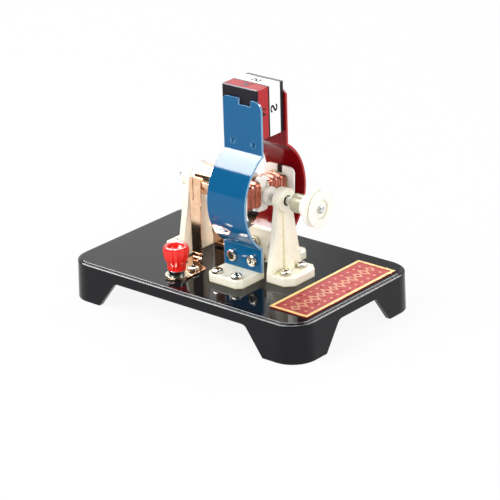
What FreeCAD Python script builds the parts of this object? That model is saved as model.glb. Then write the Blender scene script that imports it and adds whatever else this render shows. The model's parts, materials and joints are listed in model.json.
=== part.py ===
import FreeCAD, Part
import math
import os

# A classroom demonstration motor on a four-legged moulded base. All lengths are in millimetres.
# +X runs along the shaft towards the pulley, +Y towards the back strip and +Z up.
# The origin is the centre of the base at the floor.

# Clearances and overruns
cut_overrun = 2.0
running_clearance = 0.05
flat_clearance = 0.05
hole_clearance = 0.1

# Base moulding
base_length = 150.0
base_width = 95.0
base_edge_height = 20.0
base_raise = 0.8
base_rim = 1.5
base_corner_radius = 13.0
base_draft = 0.5
base_wall = 2.2
base_edge_round = 0.7
field_edge_round = 0.4
apron_depth = 5.5
long_gap_top = 85.0
long_gap_bottom = 107.0
short_gap_top = 29.6
short_gap_bottom = 51.0
leg_gap_round = 4.0

# Name plate on the base
label_length = 71.2
label_post_gap = 5.6
label_thickness = 0.4
label_border = 1.7
label_border_height = 0.2
label_end_inset = 2.5
label_place_y = 0.7
label_corner_round = 0.8

# Machine screws with pan heads, and their nuts
screw_radius = 1.5
head_radius = 3.05
head_height = 1.9
head_round = 1.0
cross_length = 3.4
cross_width = 0.8
cross_depth = 1.0
head_turn_step = 37.0
nut_flats = 5.5
nut_height = 2.4
screw_tail = 0.6

# Shaft and its bushes
axis_height = 40.7
shaft_radius = 2.0
shaft_left_reach = 36.8
shaft_right_reach = 54.0
shaft_end_round = 0.6
bush_wall = 0.7

# Bearing posts
post_face = 27.3
post_thickness = 3.4
post_width = 23.4
post_neck_width = 10.4
post_foot_length = 14.9
foot_thickness = 4.4
foot_chamfer = 4.0
foot_edge_round = 0.6
boss_radius = 6.1
boss_length = 4.7
rib_width = 4.4
rib_top_depth = 0.4
rib_foot_depth = 3.8
foot_screw_reach = 7.7
foot_screw_spacing = 12.3

# Magnet block
magnet_length = 22.0
magnet_height = 26.0
front_pole_thickness = 8.05
front_plate_thickness = 1.05
rear_pole_thickness = 8.6
rear_plate_thickness = 2.75
magnet_shift = -1.3
magnet_edge_round = 0.5

# Pole strips, two bent steel strips
pole_x = 12.2
strip_stagger = 1.1
strip_width = 24.0
strip_thickness = 1.2
strip_foot_offset = 12.9
strip_arc_radius = 29.0
front_arc_offset = 4.2
rear_arc_offset = 3.0
strip_arc_drop = 0.5
strip_top = 92.5
strip_small_corner = 2.4
strip_large_corner = 4.5
notch_width = 7.6
notch_depth = 3.2
notch_shift = 1.6
strip_screw_height = 10.2
strip_screw_spacing = 12.9
dimple_spacing = 13.0
dimple_height = 69.8
dimple_radius = 2.2
dimple_hollow_radius = 1.5

# Angle brackets under the strips
front_bracket_width = 22.0
front_bracket_shift = 0.0
front_flange_reach = 27.8
front_web_thickness = 3.0
front_flange_inset = 3.5
rear_bracket_width = 24.4
rear_bracket_shift = 0.4
rear_flange_reach = 26.5
rear_web_thickness = 4.0
rear_flange_inset = 6.5
front_web_height = 16.5
rear_web_height = 17.4
bracket_chamfer = 2.6
web_chamfer = 2.0
front_flange_spacing = 12.3
rear_flange_spacing = 16.4

# Armature
armature_turn = -3.0
core_length = 7.0
arm_height = 7.8
shoe_radius = 22.6
shoe_chord = 19.1
shoe_height = 18.4
bobbin_wall = 0.5
inner_flange_thickness = 0.6
outer_flange_thickness = 1.0
outer_flange_length = 18.6
outer_flange_height = 19.5
flange_corner_round = 3.0
bobbin_corner_round = 0.7
lead_notch_width = 3.6
lead_notch_depth = 4.2
hub_wall = 1.0
hub_width = 4.4
hub_height = 18.2
hub_cap_width = 7.9
hub_cap_length = 2.2
hub_cap_clearance = 0.3
inner_layers = 0.95

# Coil winding, one layer of round wire over the inner layers
wire_diameter = 0.8
wire_bend_radius = 0.9
whole_turns = 10
lead_height = 5.5
layer_clearance = 0.05
wire_flange_gap = 0.1
neighbour_points = 10

# Commutator
commutator_start = -24.5
commutator_length = 14.5
commutator_radius = 8.0
shoulder_length = 2.6
segment_thickness = 1.7
segment_gap = 1.2
segment_lead_angle = 9.0
commutator_flange_radius = 8.4
commutator_flange_thickness = 2.3
sleeve_radius = 3.3

# Collar and pulley
collar_start = 20.0
collar_radius = 4.7
collar_length = 2.0
pulley_hub_radius = 4.8
pulley_hub_start = 37.2
pulley_boss_radius = 5.5
pulley_boss_start = 43.7
pulley_start = 49.0
pulley_width = 4.5
pulley_radius = 9.4
pulley_rim = 0.8
groove_depth = 3.0
groove_floor = 1.0
pulley_dish_radius = 5.0
pulley_dish_depth = 1.0

# Brushes
lug_thickness = 0.8
blade_thickness = 0.5
blade_width = 6.3
pad_width = 7.4
blade_centre_x = -20.7
pad_centre_x = -20.6
upturn_height = 3.0
flex_gap = 0.12
blade_top = 44.1
pad_bottom = 31.5
pad_taper = 2.0
brush_clearance = 0.3
slit_width = 0.5
slit_shift = -1.2
slit_hole_radius = 0.7
slit_depth = 12.2
lug_screw_x = -11.4
lug_screw_y = 22.7
lug_left_x = -19.3
lug_right_x = -7.2
lug_neck_y = 13.0
lug_shoulder_y = 17.4
lug_corner_round = 1.6
bend_radius = 1.0

# Terminals
terminal_x = -13.4
terminal_y = 32.6
terminal_plate_radius = 6.0
washer_thickness = 0.7
stud_radius = 3.0
socket_radius = 2.05
socket_depth = 10.0
stud_top_gap = 0.4
stud_tail = 1.0
terminal_nut_flats = 8.0
terminal_nut_height = 3.0
collar_height = 2.6
terminal_collar_radius = 4.3
knob_radius = 6.7
knob_top_radius = 6.1
knob_waist_radius = 5.5
knob_foot_radius = 4.7
knob_height = 12.6
knob_shoulder_height = 11.2
knob_waist_height = 9.0
knob_foot_height = 4.2
knob_recess_radius = 4.0
knob_recess_depth = 2.6
flute_count = 12
flute_radius = 1.0
flute_depth = 0.55

# Places worked out from the sizes above
top_z = base_edge_height + base_raise
plate_under_z = top_z - base_wall
axis_z = top_z + axis_height
foot_top_z = top_z + foot_thickness
front_half_magnet = front_pole_thickness + front_plate_thickness
rear_half_magnet = rear_pole_thickness + rear_plate_thickness
foot_inner = strip_foot_offset - strip_thickness
arc_z = axis_z - strip_arc_drop
dimple_z = top_z + dimple_height
dimple_rise = math.sqrt(dimple_radius ** 2 - (strip_thickness + flat_clearance) ** 2)
magnet_bottom_z = dimple_z + dimple_rise + flat_clearance
magnet_x = pole_x + magnet_shift
blade_y = commutator_radius + brush_clearance + blade_thickness / 2
flex_z = top_z + upturn_height + flex_gap / 2
label_end_x = base_length / 2 - base_rim - label_end_inset
label_width = label_end_x - label_post_gap - post_face - post_foot_length
label_place_x = label_end_x - label_width / 2
hub_half_length = core_length / 2 + hub_wall
bobbin_start = hub_width / 2 + flat_clearance
winding_start = bobbin_start + inner_flange_thickness
winding_end = shoe_chord - outer_flange_thickness
bobbin_half_x = core_length / 2 + layer_clearance + bobbin_wall
bobbin_half_z = arm_height / 2 + layer_clearance + bobbin_wall
layers_half_x = bobbin_half_x + inner_layers
layers_half_z = bobbin_half_z + inner_layers
layers_round = bobbin_corner_round + inner_layers
coil_half_x = layers_half_x + layer_clearance + wire_diameter
coil_half_z = layers_half_z + layer_clearance + wire_diameter
coil_round = layers_round + layer_clearance + wire_diameter
washer_top_z = top_z + lug_thickness + washer_thickness
knob_bottom_z = washer_top_z + collar_height + 2 * flat_clearance

ORIGIN = FreeCAD.Vector(0, 0, 0)
ALONG_X = FreeCAD.Vector(1, 0, 0)
ALONG_Y = FreeCAD.Vector(0, 1, 0)
ALONG_Z = FreeCAD.Vector(0, 0, 1)
HALF_TURN = 180


def point(x, y, z):
    return FreeCAD.Vector(x, y, z)


def in_plan(z):
    return lambda a, b: point(a, b, z)


def in_front_view(y):
    return lambda a, b: point(a, y, b)


def in_side_view(x):
    return lambda a, b: point(x, a, b)


def rounded_wire(corners, place):
    # corners holds (first, second, radius) in the drawing plane; a radius of zero is a sharp corner
    spots = [place(a, b) for a, b, radius in corners]
    edges = []
    ends = []
    for i, (a, b, radius) in enumerate(corners):
        here = spots[i]
        if radius == 0:
            ends.append((here, here))
            continue
        back = (spots[i - 1] - here).normalize()
        ahead = (spots[(i + 1) % len(spots)] - here).normalize()
        half = back.getAngle(ahead) / 2
        reach = radius / math.tan(half)
        middle = here + (back + ahead).normalize() * (radius / math.sin(half) - radius)
        start = here + back * reach
        stop = here + ahead * reach
        edges.append(Part.Arc(start, middle, stop).toShape())
        ends.append((start, stop))
    for i in range(len(ends)):
        start = ends[i][1]
        stop = ends[(i + 1) % len(ends)][0]
        if start.distanceToPoint(stop) > flat_clearance ** 2:
            edges.append(Part.makeLine(start, stop))
    return Part.Wire(Part.__sortEdges__(edges))


def slab(corners, place, travel):
    return Part.Face(rounded_wire(corners, place)).extrude(travel)


def rectangle(half_a, half_b, radius=0, centre_a=0, centre_b=0):
    signs = [(-1, -1), (1, -1), (1, 1), (-1, 1)]
    return [(centre_a + s * half_a, centre_b + t * half_b, radius) for s, t in signs]


def rod(radius, start, travel):
    return Part.makeCylinder(radius, travel.Length, start, travel)


def drill(radius, start, travel):
    step = FreeCAD.Vector(travel).normalize() * cut_overrun
    return rod(radius, start - step, travel + step + step)


def tube(outer, inner, start, travel):
    return rod(outer, start, travel).cut(drill(inner, start, travel))


def box(x_ends, y_ends, z_ends):
    sides = [b - a for a, b in (x_ends, y_ends, z_ends)]
    return Part.makeBox(*sides, point(x_ends[0], y_ends[0], z_ends[0]))


def around(centre, half):
    return (centre - half, centre + half)


def mirrored_y(shape):
    return shape.mirror(ORIGIN, ALONG_Y)


def mirrored_x(shape):
    return shape.mirror(ORIGIN, ALONG_X)


def turned(shape, centre, axis, angle):
    out = shape.copy()
    out.rotate(centre, axis, angle)
    return out


def other_strip(shape):
    return turned(shape, point(pole_x, 0, 0), ALONG_Z, HALF_TURN)


def on_armature(shape):
    return turned(shape, point(0, 0, axis_z), ALONG_X, armature_turn)


def other_pole(shape):
    return turned(shape, point(0, 0, axis_z), ALONG_X, HALF_TURN)


def level_edges(shape, height):
    return [e for e in shape.Edges if all(abs(v.Z - height) < flat_clearance for v in e.Vertexes)]


def save(name, shapes):
    solids = [solid for shape in shapes for solid in shape.Solids]
    whole = solids[0] if len(solids) == 1 else Part.makeCompound(solids)
    whole.exportStep("parts/" + name + ".step")
    sound = all(solid.isValid() for solid in solids)
    print(f"{name}: {len(solids)} solids, {whole.Volume:.1f} mm3, sound {sound}")


def pan_screw(place, upward, shank, turn):
    # place is where the head's underside sits
    head = rod(head_radius, ORIGIN, ALONG_Z * head_height)
    head = head.makeFillet(head_round, level_edges(head, head_height))
    for angle in (turn, turn + HALF_TURN / 2):
        bar = box(around(0, cross_length / 2), around(0, cross_width / 2), (head_height - cross_depth, head_height + cut_overrun))
        head = head.cut(turned(bar, ORIGIN, ALONG_Z, angle))
    screw = head.fuse(rod(screw_radius, point(0, 0, -shank), ALONG_Z * (shank + head_height - cross_depth)))
    return placed(screw, place, upward)


def hex_nut(flats, bore, height, place, upward):
    corner = flats / 2 / math.cos(math.radians(HALF_TURN / 6))
    angles = [math.radians(HALF_TURN / 3 * i) for i in range(6)]
    nut = slab([(corner * math.cos(a), corner * math.sin(a), 0) for a in angles], in_plan(0), ALONG_Z * height)
    return placed(nut.cut(drill(bore, ORIGIN, ALONG_Z * height)), place, upward)


def placed(shape, place, upward):
    out = shape.copy()
    out.Placement = FreeCAD.Placement(place, FreeCAD.Rotation(ALONG_Z, upward))
    return out


def post_screw_spots():
    x = post_face + foot_screw_reach
    return [(side * x, end * foot_screw_spacing / 2) for side in (-1, 1) for end in (-1, 1)]


def flange_screw_spots(centre, spacing, reach, inset):
    return [(centre + end * spacing / 2, inset - reach) for end in (-1, 1)]


def front_flange_spots():
    return flange_screw_spots(pole_x + front_bracket_shift, front_flange_spacing, front_flange_reach, front_flange_inset)


def rear_flange_spots():
    # as in the front position, before the half turn to the back
    return flange_screw_spots(pole_x + rear_bracket_shift, rear_flange_spacing, rear_flange_reach, rear_flange_inset)


def bracket_screw_spots():
    return front_flange_spots() + [(2 * pole_x - x, -y) for x, y in rear_flange_spots()]


def lug_screw_spots():
    return [(lug_screw_x, side * lug_screw_y) for side in (-1, 1)]


def terminal_spots():
    return [(terminal_x, side * terminal_y) for side in (-1, 1)]


def leg_gap(top, bottom, in_view, across):
    apron_z = base_edge_height - apron_depth
    low = bottom / 2 + (bottom - top) / 2 * cut_overrun / apron_z
    corners = [(-low, -cut_overrun, 0), (low, -cut_overrun, 0), (top / 2, apron_z, leg_gap_round), (-top / 2, apron_z, leg_gap_round)]
    return slab(corners, in_view(-across), (in_view(across)(0, 0) - in_view(-across)(0, 0)))


def base():
    foot = rounded_wire(rectangle(base_length / 2 + base_draft, base_width / 2 + base_draft, base_corner_radius + base_draft), in_plan(0))
    edge = rounded_wire(rectangle(base_length / 2, base_width / 2, base_corner_radius), in_plan(base_edge_height))
    body = Part.makeLoft([foot, edge], True, True)
    body = body.makeFillet(base_edge_round, level_edges(body, base_edge_height))
    field_corners = rectangle(base_length / 2 - base_rim, base_width / 2 - base_rim, base_corner_radius - base_rim)
    field = slab(field_corners, in_plan(plate_under_z), ALONG_Z * base_wall)
    field = field.makeFillet(field_edge_round, level_edges(field, top_z))
    body = body.fuse(field)
    hollow_corners = rectangle(base_length / 2 - base_wall, base_width / 2 - base_wall, base_corner_radius - base_wall)
    body = body.cut(slab(hollow_corners, in_plan(-cut_overrun), ALONG_Z * (plate_under_z + cut_overrun)))
    body = body.cut(leg_gap(long_gap_top, long_gap_bottom, in_front_view, base_width))
    body = body.cut(leg_gap(short_gap_top, short_gap_bottom, in_side_view, base_length))
    for x, y in post_screw_spots() + bracket_screw_spots() + lug_screw_spots():
        body = body.cut(drill(screw_radius + hole_clearance, point(x, y, plate_under_z), ALONG_Z * base_wall))
    for x, y in terminal_spots():
        body = body.cut(drill(stud_radius + hole_clearance, point(x, y, plate_under_z), ALONG_Z * base_wall))
    return body


def label_plate():
    outer = rectangle(label_width / 2, label_length / 2, label_corner_round, label_place_x, label_place_y)
    half_a = label_width / 2 - label_border
    half_b = label_length / 2 - label_border
    field = rectangle(half_a, half_b, label_corner_round, label_place_x, label_place_y)
    plate = slab(outer, in_plan(top_z), ALONG_Z * (label_thickness + label_border_height))
    return plate.cut(slab(field, in_plan(top_z + label_thickness), ALONG_Z * cut_overrun))


def post():
    half = post_width / 2
    neck = post_neck_width / 2
    neck_z = axis_z - math.sqrt(boss_radius ** 2 - neck ** 2)
    wall = [(-half, top_z, 0), (half, top_z, 0), (half, foot_top_z, 0), (neck, neck_z, 0), (neck, axis_z, 0)]
    wall = wall + [(-neck, axis_z, 0), (-neck, neck_z, 0), (-half, foot_top_z, 0)]
    body = slab(wall, in_side_view(post_face), ALONG_X * post_thickness)
    foot_end = post_face + post_foot_length
    foot = [(post_face, -half, 0), (foot_end - foot_chamfer, -half, foot_edge_round), (foot_end, -half + foot_chamfer, foot_edge_round)]
    foot = foot + [(foot_end, half - foot_chamfer, foot_edge_round), (foot_end - foot_chamfer, half, foot_edge_round), (post_face, half, 0)]
    foot = slab(foot, in_plan(top_z), ALONG_Z * foot_thickness)
    outside = [e for e in level_edges(foot, foot_top_z) if e.CenterOfMass.x > post_face + flat_clearance]
    body = body.fuse(foot.makeFillet(foot_edge_round, outside))
    back = post_face + post_thickness
    rib = [(post_face, top_z, 0), (back + rib_foot_depth, top_z, 0), (back + rib_top_depth, neck_z, 0), (post_face, neck_z, 0)]
    body = body.fuse(slab(rib, in_front_view(-rib_width / 2), ALONG_Y * rib_width))
    body = body.fuse(rod(boss_radius, point(post_face, 0, axis_z), ALONG_X * boss_length))
    body = body.cut(drill(shaft_radius + running_clearance + bush_wall, point(post_face, 0, axis_z), ALONG_X * boss_length))
    for x, y in post_screw_spots()[2:]:
        body = body.cut(drill(screw_radius + hole_clearance, point(x, y, top_z), ALONG_Z * foot_thickness))
    return body.removeSplitter()


def bush():
    bore = shaft_radius + running_clearance
    return tube(bore + bush_wall, bore, point(post_face, 0, axis_z), ALONG_X * boss_length)


def bracket(width, shift, reach, web_thickness, web_height, flange_spots):
    # the front position; reach is how far the flange's edge lies from the shaft
    left = pole_x + shift - width / 2
    right = left + width
    web_inner = foot_inner - web_thickness
    flange = [(left, -web_inner, 0), (left, bracket_chamfer - reach, foot_edge_round), (left + bracket_chamfer, -reach, foot_edge_round)]
    flange = flange + [(right - bracket_chamfer, -reach, foot_edge_round), (right, bracket_chamfer - reach, foot_edge_round)]
    body = slab(flange + [(right, -web_inner, 0)], in_plan(top_z), ALONG_Z * foot_thickness)
    outside = [e for e in level_edges(body, foot_top_z) if e.CenterOfMass.y < -web_inner - flat_clearance]
    body = body.makeFillet(foot_edge_round, outside)
    high = top_z + web_height
    web = [(left, top_z, 0), (right, top_z, 0), (right, high - web_chamfer, 0), (right - web_chamfer, high, 0)]
    web = web + [(left + web_chamfer, high, 0), (left, high - web_chamfer, 0)]
    body = body.fuse(slab(web, in_front_view(-foot_inner), ALONG_Y * web_thickness))
    for x, y in flange_spots:
        body = body.cut(drill(screw_radius + hole_clearance, point(x, y, top_z), ALONG_Z * foot_thickness))
    for x in strip_screw_places():
        start = point(x, -foot_inner, top_z + strip_screw_height)
        body = body.cut(drill(screw_radius + hole_clearance, start, ALONG_Y * web_thickness))
    return body.removeSplitter()


def strip_screw_places():
    centre = pole_x + strip_stagger
    return [centre + end * strip_screw_spacing / 2 for end in (-1, 1)]


def strip_side(radius, foot_y, plate_y, arc_offset):
    # the foot's line, the arc and the plate's line of one face of a strip in the front position, from the foot up
    x = pole_x + strip_stagger - strip_width / 2
    low_z = arc_z - math.sqrt(radius ** 2 - (foot_y + arc_offset) ** 2)
    high_z = arc_z + math.sqrt(radius ** 2 - (plate_y + arc_offset) ** 2)
    foot = point(x, -foot_y, foot_top_z)
    low = point(x, -foot_y, low_z)
    middle = point(x, arc_offset - radius, arc_z)
    high = point(x, -plate_y, high_z)
    top = point(x, -plate_y, top_z + strip_top)
    return [Part.makeLine(foot, low), Part.Arc(low, middle, high).toShape(), Part.makeLine(high, top)], foot, top


def strip_outline():
    centre = pole_x + strip_stagger
    high = top_z + strip_top
    left = centre - strip_width / 2
    right = centre + strip_width / 2
    notch_left = centre + notch_shift - notch_width / 2
    notch_right = notch_left + notch_width
    below = foot_top_z - cut_overrun
    notch_low = high - notch_depth
    shape = [(left, below, 0), (right, below, 0), (right, high, strip_large_corner), (notch_right, high, 0), (notch_right, notch_low, 0)]
    return shape + [(notch_left, notch_low, 0), (notch_left, high, 0), (left, high, strip_small_corner)]


def pole_strip(half_magnet, arc_offset):
    plate_inner = half_magnet + flat_clearance
    plate_outer = plate_inner + strip_thickness
    outer, outer_foot, outer_top = strip_side(strip_arc_radius, strip_foot_offset, plate_outer, arc_offset)
    inner, inner_foot, inner_top = strip_side(strip_arc_radius - strip_thickness, foot_inner, plate_inner, arc_offset)
    ends = [Part.makeLine(outer_foot, inner_foot), Part.makeLine(outer_top, inner_top)]
    profile = Part.Wire(Part.__sortEdges__(outer + inner + ends))
    body = Part.Face(profile).extrude(ALONG_X * strip_width)
    body = body.common(slab(strip_outline(), in_front_view(-strip_arc_radius), ALONG_Y * strip_arc_radius))
    for end in (-1, 1):
        spot = point(pole_x + strip_stagger + end * dimple_spacing / 2, -plate_outer, dimple_z)
        before = box(around(spot.x, strip_width), (-strip_arc_radius, -half_magnet - 2 * flat_clearance), around(spot.z, strip_width))
        lump = Part.makeSphere(dimple_radius, spot).cut(before)
        body = body.fuse(lump).cut(Part.makeSphere(dimple_hollow_radius, spot))
    for x in strip_screw_places():
        start = point(x, -strip_foot_offset, top_z + strip_screw_height)
        body = body.cut(drill(screw_radius + hole_clearance, start, ALONG_Y * strip_thickness))
    return body


def base_screws():
    shank = foot_thickness + base_wall + nut_height + screw_tail
    spots = post_screw_spots() + bracket_screw_spots()
    return [pan_screw(point(x, y, foot_top_z), ALONG_Z, shank, head_turn_step * i) for i, (x, y) in enumerate(spots)]


def base_nuts():
    spots = post_screw_spots() + bracket_screw_spots()
    return [hex_nut(nut_flats, screw_radius, nut_height, point(x, y, plate_under_z), -ALONG_Z) for x, y in spots]


def strip_fasteners(web_thickness):
    shank = strip_thickness + web_thickness + nut_height + screw_tail
    z = top_z + strip_screw_height
    screws = []
    nuts = []
    for i, x in enumerate(strip_screw_places()):
        screws.append(pan_screw(point(x, -strip_foot_offset, z), -ALONG_Y, shank, head_turn_step * (i + 1)))
        nuts.append(hex_nut(nut_flats, screw_radius, nut_height, point(x, web_thickness - foot_inner, z), ALONG_Y))
    return screws, nuts


def magnet_layer(low_y, high_y):
    return box(around(magnet_x, magnet_length / 2), (low_y, high_y), (magnet_bottom_z, magnet_bottom_z + magnet_height))


def magnet_cover(low_y, high_y):
    plate = magnet_layer(low_y, high_y)
    outside = [e for e in plate.Edges if all(abs(v.Y - high_y) < flat_clearance for v in e.Vertexes)]
    return plate.makeFillet(magnet_edge_round, outside)


def shaft():
    body = rod(shaft_radius, point(-shaft_left_reach, 0, axis_z), ALONG_X * (shaft_left_reach + shaft_right_reach))
    rims = [e for e in body.Edges if len(e.Vertexes) == 1]
    return body.makeFillet(shaft_end_round, rims)


def commutator_hub():
    shoulder_end = commutator_start + shoulder_length
    end = commutator_start + commutator_length
    stop = pole_x - coil_half_x - flat_clearance
    flange = point(commutator_start - commutator_flange_thickness, 0, axis_z)
    body = rod(commutator_flange_radius, flange, ALONG_X * commutator_flange_thickness)
    body = body.fuse(rod(commutator_radius, point(commutator_start, 0, axis_z), ALONG_X * shoulder_length))
    body = body.fuse(rod(commutator_radius - segment_thickness, point(shoulder_end, 0, axis_z), ALONG_X * (end - shoulder_end)))
    body = body.fuse(rod(sleeve_radius, point(end, 0, axis_z), ALONG_X * (stop - end)))
    return body.cut(drill(shaft_radius, flange, ALONG_X * (stop - flange.x)))


def commutator_segment():
    start = commutator_start + shoulder_length
    end = commutator_start + commutator_length
    ring = tube(commutator_radius, commutator_radius - segment_thickness, point(start, 0, axis_z), ALONG_X * (end - start))
    upper = box((start, end), around(0, commutator_radius), (axis_z + segment_gap / 2, axis_z + commutator_radius))
    return turned(ring.common(upper), point(0, 0, axis_z), ALONG_X, -segment_lead_angle)


def armature_core():
    start = pole_x - core_length / 2
    body = rod(shoe_radius, point(start, 0, axis_z), ALONG_X * core_length)
    for side in (-1, 1):
        for end in (-1, 1):
            y_ends = sorted((0, side * shoe_chord))
            z_ends = sorted((axis_z + end * arm_height / 2, axis_z + end * shoe_radius))
            body = body.cut(box((start - cut_overrun, start + core_length + cut_overrun), y_ends, z_ends))
    level = box((start, start + core_length), around(0, shoe_radius), around(axis_z, shoe_height / 2))
    return body.common(level).cut(drill(shaft_radius, point(start, 0, axis_z), ALONG_X * core_length))


def armature_hub():
    # the white block moulded round the middle of the core
    start = pole_x - hub_half_length
    body = box(around(pole_x, hub_half_length), around(0, hub_width / 2), around(axis_z, hub_height / 2))
    for end in (-1, 1):
        z_ends = sorted((axis_z + end * (coil_half_z + hub_cap_clearance), axis_z + end * hub_height / 2))
        for side in (-1, 1):
            # a wider cap at each end face, over the inner ends of the coils
            x_ends = sorted((pole_x + side * (hub_half_length - hub_cap_length), pole_x + side * hub_half_length))
            body = body.fuse(box(x_ends, around(0, hub_cap_width / 2), z_ends))
    core = box(around(pole_x, core_length / 2), around(0, hub_width), around(axis_z, arm_height / 2))
    return body.cut([core, drill(shaft_radius, point(start, 0, axis_z), ALONG_X * 2 * hub_half_length)])


def arm_section(half_x, half_z, radius, near, far):
    # a rounded block round the front arm, between two distances from the axis
    return slab(rectangle(half_x, half_z, radius, pole_x, axis_z), in_front_view(-far), ALONG_Y * (far - near))


def lead_notch(end):
    # an open slot in the outer flange's top or bottom edge
    edge = axis_z + end * outer_flange_height / 2
    z_ends = sorted((edge - end * lead_notch_depth, edge + end * cut_overrun))
    return box(around(pole_x, lead_notch_width / 2), (-shoe_radius, -winding_end + cut_overrun), z_ends)


def bobbin():
    body = arm_section(bobbin_half_x, bobbin_half_z, bobbin_corner_round, bobbin_start, shoe_chord)
    inner = arm_section(coil_half_x, coil_half_z, coil_round, bobbin_start, winding_start)
    outer = arm_section(outer_flange_length / 2, outer_flange_height / 2, flange_corner_round, winding_end, shoe_chord)
    body = body.fuse([inner, outer.cut([lead_notch(end) for end in (-1, 1)])])
    hole_x = core_length / 2 + layer_clearance
    hole_z = arm_height / 2 + layer_clearance
    return body.cut(arm_section(hole_x, hole_z, 0, 0, shoe_radius))


def inner_winding():
    body = arm_section(layers_half_x, layers_half_z, layers_round, winding_start, winding_end)
    return body.cut(arm_section(bobbin_half_x, bobbin_half_z, bobbin_corner_round, 0, shoe_radius))


def corner_arc(start, stop, centre, radius):
    middle = centre + ((start + stop) * 0.5 - centre).normalize() * radius
    return Part.Arc(start, middle, stop).toShape()


def crossing(start, stop):
    # two equal arcs that leave and arrive along X and shift the wire by one pitch
    middle = (start + stop) * 0.5
    run = stop.x - start.x
    shift = stop.y - start.y
    radius = (run ** 2 + shift ** 2) / (abs(shift) * 4)
    side = math.copysign(radius, shift)
    first = corner_arc(start, middle, point(start.x, start.y + side, start.z), radius)
    return [first, corner_arc(middle, stop, point(stop.x, stop.y - side, stop.z), radius)]


def winding_path():
    reach_x = layers_half_x + layer_clearance + wire_diameter / 2
    reach_z = layers_half_z + layer_clearance + wire_diameter / 2
    bend = layers_round + layer_clearance + wire_diameter / 2
    first = winding_start + wire_flange_gap + wire_diameter / 2
    last = winding_end - wire_diameter - wire_bend_radius
    pitch = (last - first) / whole_turns

    def at(u, w, s):
        return point(pole_x + u, -s, axis_z + w)

    edge = commutator_start + commutator_length - pole_x
    lead_start = at(edge, lead_height, first)
    lead_stop = at(-reach_x - wire_bend_radius, lead_height, first)
    entry = at(-reach_x, lead_height - wire_bend_radius, first)
    entry_centre = at(-reach_x - wire_bend_radius, lead_height - wire_bend_radius, first)
    edges = [Part.makeLine(lead_start, lead_stop), corner_arc(lead_stop, entry, entry_centre, wire_bend_radius)]
    here = entry
    for turn in range(whole_turns):
        s = first + pitch * turn
        after = s + pitch
        low_left = at(-reach_x, -reach_z + bend, s)
        low_start = at(-reach_x + bend, -reach_z, s)
        low_stop = at(reach_x - bend, -reach_z, after)
        right_low = at(reach_x, -reach_z + bend, after)
        right_high = at(reach_x, reach_z - bend, after)
        high_start = at(reach_x - bend, reach_z, after)
        high_stop = at(-reach_x + bend, reach_z, after)
        left_high = at(-reach_x, reach_z - bend, after)
        edges.append(Part.makeLine(here, low_left))
        edges.append(corner_arc(low_left, low_start, at(-reach_x + bend, -reach_z + bend, s), bend))
        edges.extend(crossing(low_start, low_stop))
        edges.append(corner_arc(low_stop, right_low, at(reach_x - bend, -reach_z + bend, after), bend))
        edges.append(Part.makeLine(right_low, right_high))
        edges.append(corner_arc(right_high, high_start, at(reach_x - bend, reach_z - bend, after), bend))
        edges.append(Part.makeLine(high_start, high_stop))
        edges.append(corner_arc(high_stop, left_high, at(-reach_x + bend, reach_z - bend, after), bend))
        here = left_high
    exit_start = at(-reach_x, wire_bend_radius, last)
    exit_stop = at(-reach_x, 0, last + wire_bend_radius)
    edges.append(Part.makeLine(here, exit_start))
    edges.append(corner_arc(exit_start, exit_stop, at(-reach_x, wire_bend_radius, last + wire_bend_radius), wire_bend_radius))
    edges.append(Part.makeLine(exit_stop, at(-reach_x, 0, winding_end)))
    return edges


def least_gap(edges):
    spots = []
    for edge in edges:
        spots.extend(edge.discretize(Distance=wire_diameter / 2)[1:])
    gaps = []
    for i, spot in enumerate(spots):
        gaps.extend(spot.distanceToPoint(other) for other in spots[i + neighbour_points:])
    return min(gaps) - wire_diameter


def coil_winding():
    edges = winding_path()
    print(f"coil winding: {whole_turns} turns, least gap to itself {least_gap(edges):.3f} mm")
    start = edges[0].Vertexes[0].Point
    section = Part.Wire(Part.makeCircle(wire_diameter / 2, start, ALONG_X))
    return Part.Solid(Part.Wire(edges).makePipeShell([section], True, False))


def spacer_collar():
    return tube(collar_radius, shaft_radius, point(collar_start, 0, axis_z), ALONG_X * collar_length)


def pulley_hub():
    return tube(pulley_hub_radius, shaft_radius, point(pulley_hub_start, 0, axis_z), ALONG_X * (pulley_boss_start - pulley_hub_start))


def pulley():
    end = pulley_start + pulley_width
    centre = (pulley_start + end) / 2
    floor = pulley_radius - groove_depth
    profile = [(pulley_start, 0, 0), (end, 0, 0), (end, pulley_radius, 0), (end - pulley_rim, pulley_radius, 0)]
    profile = profile + [(centre + groove_floor / 2, floor, 0), (centre - groove_floor / 2, floor, 0)]
    profile = profile + [(pulley_start + pulley_rim, pulley_radius, 0), (pulley_start, pulley_radius, 0)]
    face = Part.Face(rounded_wire(profile, lambda a, b: point(a, 0, axis_z + b)))
    body = face.revolve(point(0, 0, axis_z), ALONG_X, HALF_TURN * 2)
    boss_start = point(pulley_boss_start, 0, axis_z)
    body = body.fuse(rod(pulley_boss_radius, boss_start, ALONG_X * (pulley_start - pulley_boss_start)))
    dish = rod(pulley_dish_radius, point(end - pulley_dish_depth, 0, axis_z), ALONG_X * (pulley_dish_depth + cut_overrun))
    return body.cut([dish, drill(shaft_radius, boss_start, ALONG_X * (end - pulley_boss_start))])


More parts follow.
